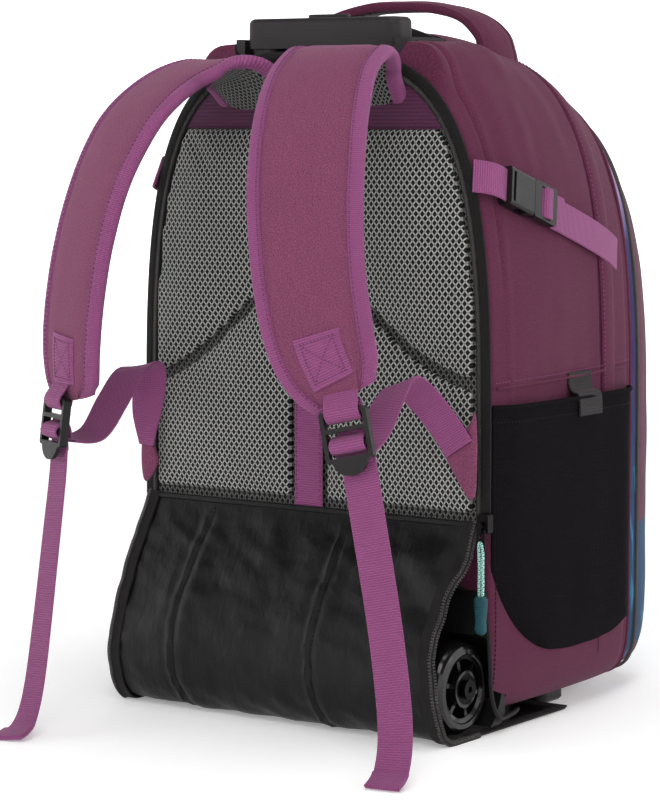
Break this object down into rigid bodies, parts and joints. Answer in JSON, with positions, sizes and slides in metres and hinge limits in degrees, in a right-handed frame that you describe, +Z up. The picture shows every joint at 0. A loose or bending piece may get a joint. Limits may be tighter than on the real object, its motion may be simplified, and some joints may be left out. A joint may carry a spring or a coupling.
{
  "type": "wheeled trolley backpack",
  "caption": "Purple wheeled backpack with padded straps, mesh back panel, telescopic trolley handle and a fold-down cover over its wheels.",
  "frame": {"origin": "on the floor on the bag's centre plane, under the flap of the wheel cover", "axes": "+Z up, +X across the bag, -Y towards the shoulder straps, +Y towards the front pockets"},
  "size_m": [0.3526, 0.4901, 0.5236],
  "materials": {
    "body_fabric": "woven polyester, matt",
    "strap_fabric": "smooth padded polyester",
    "purple_webbing": "ribbed webbing",
    "air_mesh": "knitted spacer mesh",
    "black_nylon": "coated nylon, soft sheen",
    "black_stretch": "stretch knit",
    "zip_tape": "woven tape with coil teeth",
    "print_fabric": "printed polyester",
    "piping": "corded piping",
    "black_plastic": "moulded, fine grain",
    "hub_plastic": "moulded, glossy",
    "wheel_rubber": "glossy polyurethane tread",
    "bearing_steel": "ground steel",
    "axle_steel": "plated",
    "tube_aluminium": "anodised tube",
    "board_plastic": "polyethylene sheet",
    "mint_cord": "braided cord with dark flecks",
    "teal_rubber": "moulded, ribbed",
    "zip_metal": "black enamel"
  },
  "bodies": {
    "bag": {"anchor_gussets": "body_fabric", "axle_left": "axle_steel", "axle_right": "axle_steel", "base_tray": "black_plastic", "buckle_socket_left": "black_plastic", "buckle_socket_right": "black_plastic", "centre_webbing": "purple_webbing", "cover_zips": "zip_tape", "frame_board": "board_plastic", "front_compartment": "print_fabric", "front_feet": "black_plastic", "front_piping": "piping", "grab_handle": "body_fabric", "handle_cup": "black_plastic", "housing_screws": "axle_steel", "ladder_lock_left": "black_plastic", "ladder_lock_right": "black_plastic", "lower_back_pad_left": "air_mesh", "lower_back_pad_right": "air_mesh", "lower_front_pocket": "print_fabric", "lower_webbing_left": "purple_webbing", "lower_webbing_right": "purple_webbing", "main_compartment": "body_fabric", "main_zip": "zip_tape", "outer_tubes": "tube_aluminium", "perimeter_zip": "zip_tape", "plug_webbing_left": "purple_webbing", "plug_webbing_right": "purple_webbing", "pocket_tab_left": "zip_tape", "pocket_tab_right": "zip_tape", "shoulder_strap_left": "strap_fabric", "shoulder_strap_right": "strap_fabric", "side_pocket_left": "black_stretch", "side_pocket_right": "black_stretch", "socket_webbing_left": "purple_webbing", "socket_webbing_right": "purple_webbing", "strap_tail_left": "purple_webbing", "strap_tail_right": "purple_webbing", "upper_back_pad": "air_mesh", "wheel_cover": "black_nylon", "wheel_housing_left": "black_plastic", "wheel_housing_right": "black_plastic", "yoke_band": "purple_webbing", "zip_slider": "zip_metal"},
    "handle_lower": {"middle_tubes": "tube_aluminium"},
    "handle_upper": {"inner_tubes": "tube_aluminium", "grip_body": "black_plastic", "button_spring": "bearing_steel"},
    "release_button": {"release_button": "black_plastic"},
    "wheel_left": {"tyre_left": "wheel_rubber", "wheel_hub_left": "hub_plastic", "wheel_bearings_left": "bearing_steel"},
    "wheel_right": {"tyre_right": "wheel_rubber", "wheel_hub_right": "hub_plastic", "wheel_bearings_right": "bearing_steel"},
    "plug_left": {"buckle_plug_left": "black_plastic"},
    "plug_right": {"buckle_plug_right": "black_plastic"},
    "zip_pull": {"zip_pull_tab": "zip_metal", "pull_cord": "mint_cord", "pull_grip": "teal_rubber"}
  },
  "joints": [
    {"name": "handle_lower_slide", "type": "slide", "parent": "bag", "child": "handle_lower", "axis": [0, 0, 1], "range_m": [0, 0.23]},
    {"name": "handle_upper_slide", "type": "slide", "parent": "handle_lower", "child": "handle_upper", "axis": [0, 0, 1], "range_m": [0, 0.23]},
    {"name": "button_press", "type": "slide", "parent": "handle_upper", "child": "release_button", "axis": [0, 0, -1], "range_m": [0, 0.004], "stiffness_N_per_m": 400, "springref_m": -0.003, "deforming": ["button_spring"]},
    {"name": "wheel_spin_left", "type": "hinge", "parent": "bag", "child": "wheel_left", "pos_m": [-0.133, -0.123, 0.0365], "axis": [1, 0, 0], "continuous": true},
    {"name": "wheel_spin_right", "type": "hinge", "parent": "bag", "child": "wheel_right", "pos_m": [0.133, -0.123, 0.0365], "axis": [1, 0, 0], "continuous": true},
    {"name": "buckle_release_left", "type": "slide", "parent": "bag", "child": "plug_left", "axis": [-0.05, 0.9474, -0.3161], "range_m": [0, 0.026]},
    {"name": "buckle_release_right", "type": "slide", "parent": "bag", "child": "plug_right", "axis": [0.05, 0.9474, -0.3161], "range_m": [0, 0.026]},
    {"name": "zip_pull_swing", "type": "hinge", "parent": "bag", "child": "zip_pull", "pos_m": [0.155, -0.1205, 0.15], "axis": [-1, 0, 0], "range_deg": [0, 100]}
  ]
}
